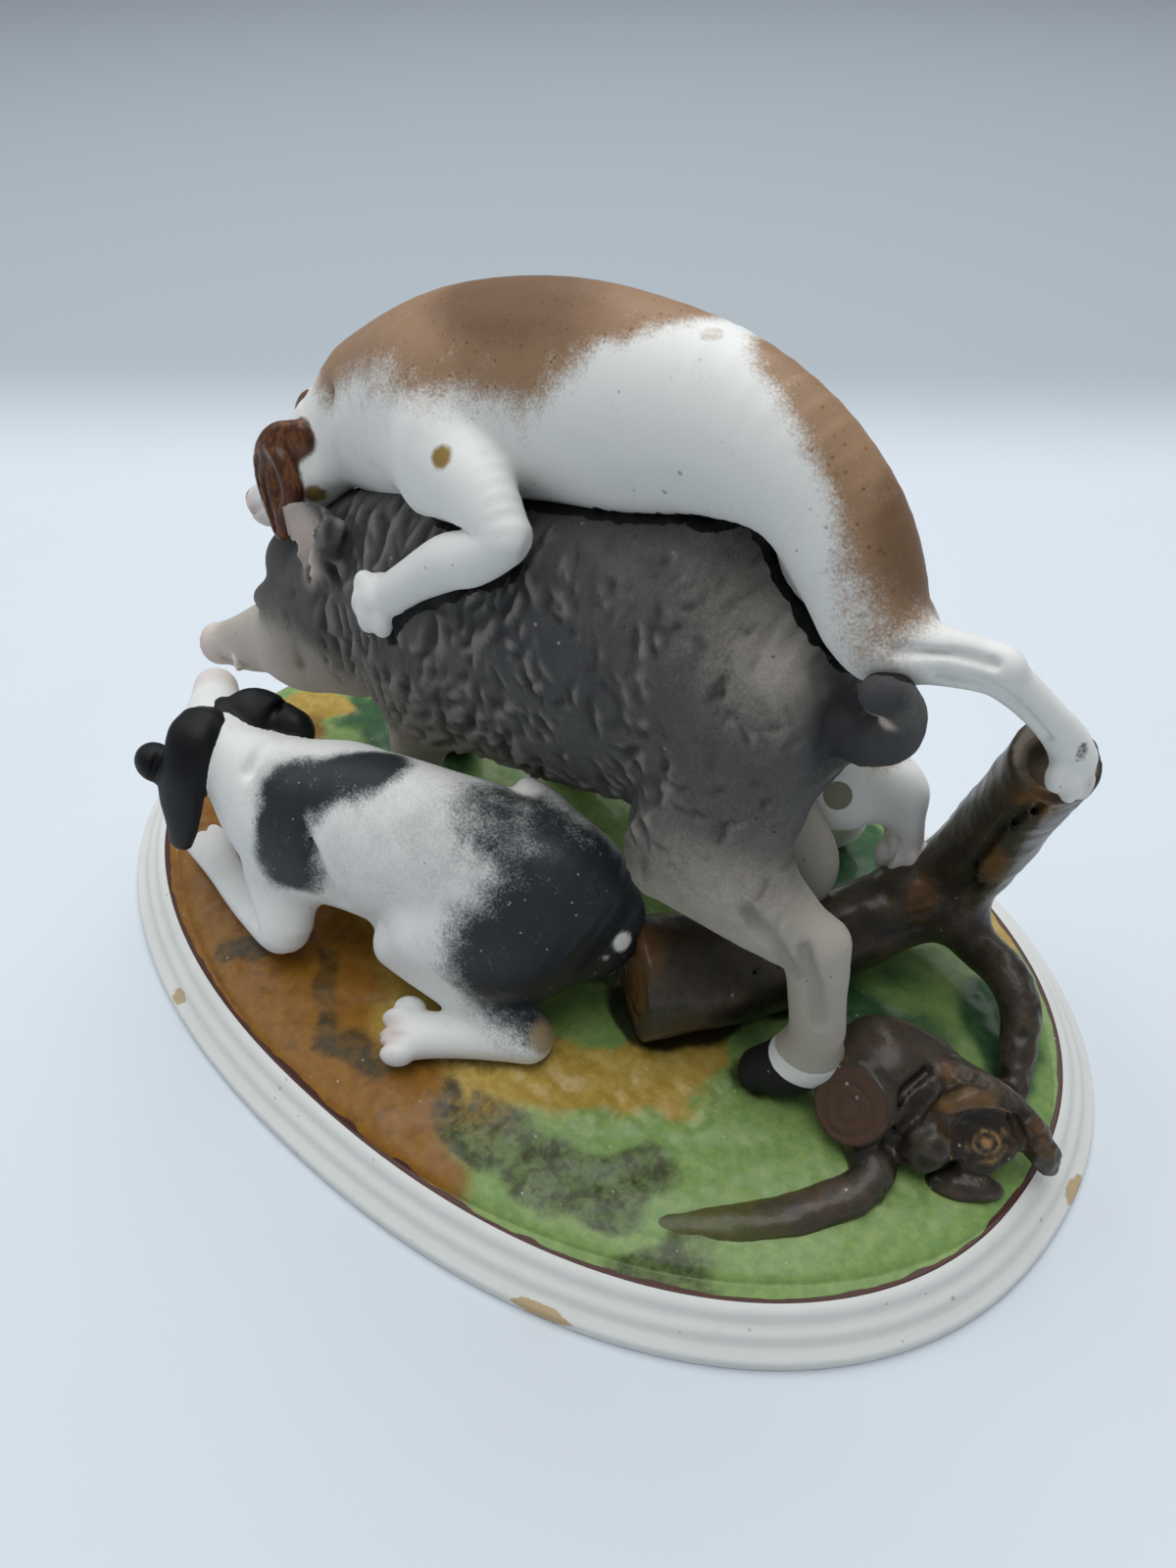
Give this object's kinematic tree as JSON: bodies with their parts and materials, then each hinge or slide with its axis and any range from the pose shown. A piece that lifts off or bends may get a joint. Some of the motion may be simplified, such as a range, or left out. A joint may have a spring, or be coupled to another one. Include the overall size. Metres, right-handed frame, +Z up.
{
  "type": "porcelain figure group",
  "caption": "Painted bisque porcelain group of hounds holding a wild boar, made as one piece with its oval base, fallen tree and stump.",
  "frame": {"origin": "middle of the underside of the oval base, on the surface that it stands on", "axes": "+X along the base's long axis towards the boar's tail, +Y towards the far hound, +Z up"},
  "size_m": [0.21, 0.1456, 0.1265],
  "materials": {
    "bisque_porcelain": "unglazed bisque porcelain with matt airbrushed and brushed colours",
    "painted_glaze": "glossy brushed green, ochre and brown underglaze colours on the ground and the tree"
  },
  "bodies": {
    "root": {"boar_hunt_group": "bisque_porcelain"}
  },
  "joints": []
}
